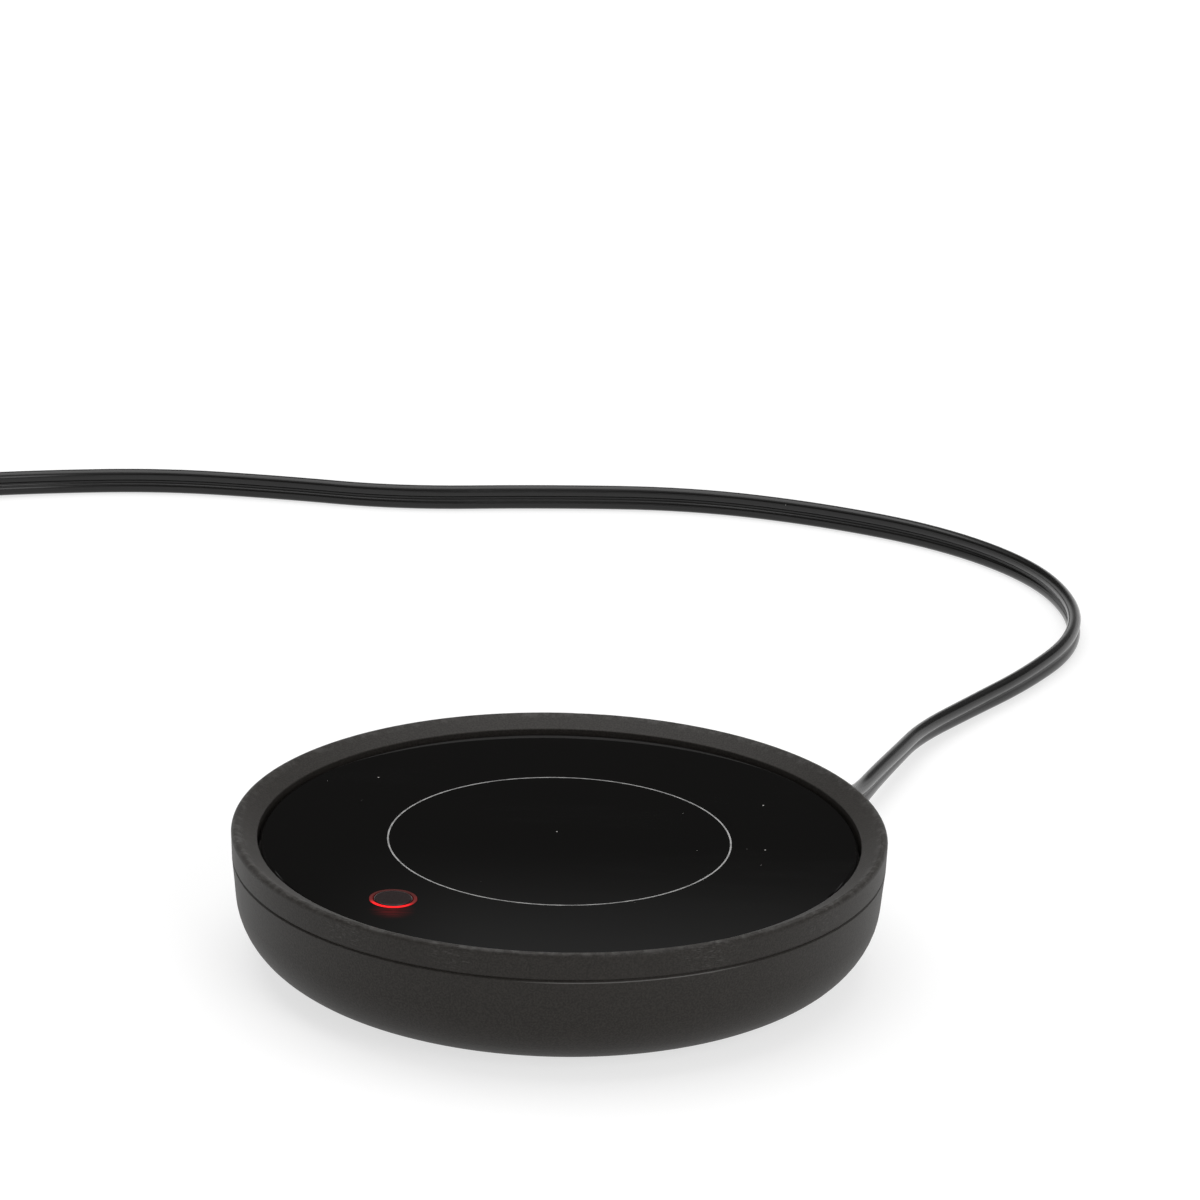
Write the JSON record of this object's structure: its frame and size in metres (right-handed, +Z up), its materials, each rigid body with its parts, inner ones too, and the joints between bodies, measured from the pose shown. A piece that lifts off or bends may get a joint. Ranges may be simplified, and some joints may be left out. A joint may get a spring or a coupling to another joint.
{
  "type": "electric mug warmer",
  "caption": "Round desk-top electric mug warmer with a flush black glass plate, a lit push button at the front left and a flat mains lead with a two-pin plug.",
  "frame": {"origin": "centre of the housing on the table, under the feet", "axes": "+Z up along the housing's axis; +X to the right and +Y to the back, with the button at the front left"},
  "size_m": [0.3249, 0.3267, 0.0252],
  "materials": {
    "matte_black_housing": "fine matte moulded texture",
    "black_glass": "polished, back-painted black",
    "zone_print": "thin fired-on line",
    "silicone": "soft matt",
    "light_guide": "clear red-lit plastic",
    "button_plastic": "satin",
    "switch_plastic": "moulded",
    "led": "clear resin",
    "aluminium_plate": "rolled",
    "mica": "pressed mica sheet",
    "resistance_alloy": "etched foil",
    "felt_pad": "ceramic fibre felt",
    "pressed_steel": "zinc plated",
    "screw_steel": "plated",
    "thermostat_resin": "phenolic moulding",
    "fuse_case": "ceramic",
    "board_laminate": "solder mask",
    "relay_case": "moulded",
    "capacitor_case": "dipped",
    "chip_resin": "moulded",
    "resistor_coat": "lacquer",
    "terminal_brass": "tinned",
    "wire_black": "insulation",
    "wire_white": "glass sleeved",
    "foot_rubber": "matt",
    "lead_black": "soft gloss jacket",
    "tie_black": "coated wire",
    "plug_black": "moulded",
    "blade_brass": "plated"
  },
  "bodies": {
    "housing": {"base_shell": "matte_black_housing", "rim_ring": "matte_black_housing", "warming_plate": "black_glass", "zone_ring": "zone_print", "plate_gasket": "silicone", "light_guide_ring": "light_guide", "switch_body": "switch_plastic", "status_leds": "led", "heat_spreader": "aluminium_plate", "mica_upper": "mica", "heating_element": "resistance_alloy", "mica_lower": "mica", "insulation_pad": "felt_pad", "heater_tray": "pressed_steel", "tray_screws": "screw_steel", "thermostat": "thermostat_resin", "thermostat_bracket": "pressed_steel", "thermal_fuse": "fuse_case", "control_board": "board_laminate", "board_screws": "screw_steel", "power_relay": "relay_case", "film_capacitor": "capacitor_case", "control_chip": "chip_resin", "board_resistors": "resistor_coat", "board_terminals": "terminal_brass", "supply_leads": "wire_black", "heater_leads": "wire_white", "base_screws": "screw_steel", "rubber_feet": "foot_rubber", "strain_relief": "lead_black", "cord_tube": "lead_black", "cord_coil": "lead_black", "coil_tie": "tie_black", "plug_body": "plug_black", "plug_blades": "blade_brass"},
    "power_button": {"button_cap": "button_plastic", "switch_plunger": "switch_plastic"}
  },
  "joints": [
    {"name": "button_press", "type": "slide", "parent": "housing", "child": "power_button", "axis": [0, 0, -1], "range_m": [0, 0.0008], "stiffness_N_per_m": 1500, "springref_m": -0.0004}
  ]
}
